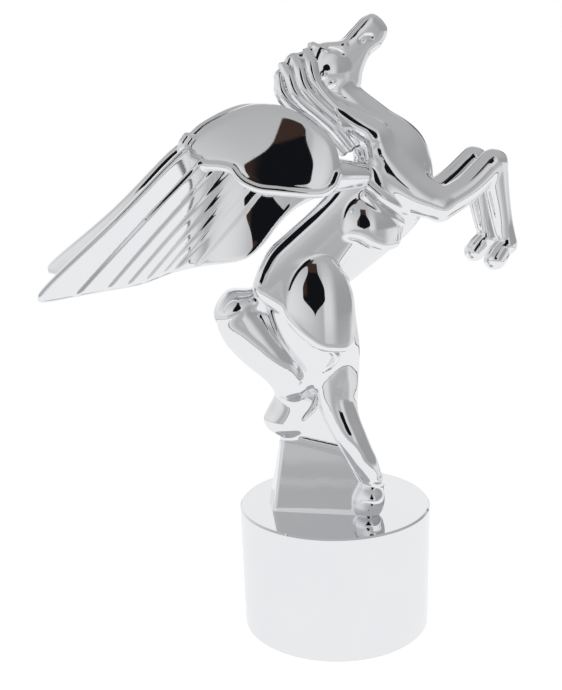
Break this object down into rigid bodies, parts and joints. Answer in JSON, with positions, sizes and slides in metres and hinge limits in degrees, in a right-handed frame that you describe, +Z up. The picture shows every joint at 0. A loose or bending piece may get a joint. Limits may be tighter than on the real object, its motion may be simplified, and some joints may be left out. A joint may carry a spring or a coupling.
{
  "type": "hood ornament",
  "caption": "Chrome-plated rearing winged horse on a wedge support, bolted from below to a round turned plinth with a padded underside.",
  "frame": {"origin": "centre of the pad's underside, on the table, on the plinth's axis", "axes": "+Z up along the plinth's axis, +X the way the horse faces, +Y the horse's left"},
  "size_m": [0.1323, 0.057, 0.1796],
  "materials": {
    "chrome_plate": "mirror-polished chrome plate",
    "felt": "dense black felt",
    "zinc_steel": "bright zinc plate"
  },
  "bodies": {
    "root": {"plinth": "chrome_plate", "foot_pad": "felt", "horse_casting": "chrome_plate", "wing_left": "chrome_plate", "wing_right": "chrome_plate", "wing_tie_rod": "zinc_steel", "mounting_stud": "zinc_steel", "flat_washer": "zinc_steel", "spring_washer": "zinc_steel", "hex_nut": "zinc_steel", "locating_dowel": "zinc_steel"}
  },
  "joints": []
}
